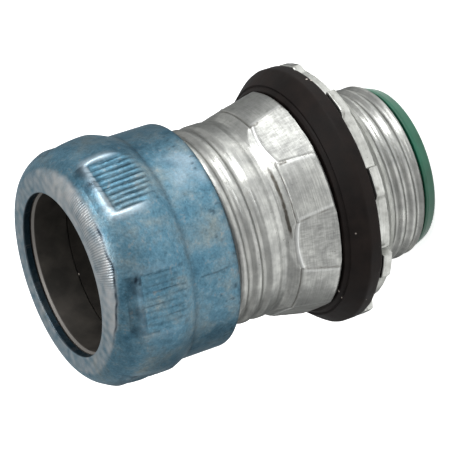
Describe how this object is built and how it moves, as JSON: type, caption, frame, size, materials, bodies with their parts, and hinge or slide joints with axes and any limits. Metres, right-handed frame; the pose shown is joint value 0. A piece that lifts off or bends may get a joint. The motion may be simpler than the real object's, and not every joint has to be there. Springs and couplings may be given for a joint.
{
  "type": "compression conduit connector",
  "caption": "Straight raintight compression connector that fixes a thin-wall steel conduit in a box knockout, with compression nut, sealing ring, locknut and insulated throat.",
  "frame": {"origin": "on the connector's axis, at the face of the insulating throat, which is the end it stands on", "axes": "+Z along the axis, from the box end to the mouth that takes the conduit; a wrench pad's middle lies 4 degrees from +X"},
  "size_m": [0.0384, 0.0384, 0.055],
  "materials": {
    "blue_zinc": "blue passivated zinc plate on formed steel, satin, mottled",
    "bright_zinc": "bright zinc plate on formed steel, brushed by the press tool on the pads",
    "ring_steel": "zinc-plated spring steel",
    "gland_rubber": "matt black rubber",
    "ring_rubber": "matt brown-black rubber with a soft sheen",
    "stamped_zinc": "zinc plate on stamped steel, with rough sheared edges",
    "green_plastic": "green moulded plastic, satin"
  },
  "bodies": {
    "body": {"connector_body": "bright_zinc", "insulating_throat": "green_plastic"},
    "gland": {"compression_ring": "ring_steel", "gland_seal": "gland_rubber"},
    "nut": {"compression_nut": "blue_zinc"},
    "seal": {"sealing_ring": "ring_rubber"},
    "locknut": {"locknut": "stamped_zinc"}
  },
  "joints": [
    {"name": "gland_travel", "type": "slide", "parent": "body", "child": "gland", "axis": [0, 0, 1], "range_m": [0, 0.00924]},
    {"name": "nut_turn", "type": "hinge", "parent": "gland", "child": "nut", "pos_m": [0, 0, 0.045], "axis": [0, 0, 1], "range_deg": [0, 1440]},
    {"name": "seal_travel", "type": "slide", "parent": "body", "child": "seal", "axis": [0, 0, -1], "range_m": [0, 0.00817]},
    {"name": "locknut_turn", "type": "hinge", "parent": "seal", "child": "locknut", "pos_m": [0, 0, 0.011], "axis": [0, 0, -1], "range_deg": [0, 1620]}
  ],
  "couplings": [
    {"joint": "gland_travel", "follows": "nut_turn", "m_per_rad": 0.00036749},
    {"joint": "seal_travel", "follows": "locknut_turn", "m_per_rad": 0.00028871}
  ]
}
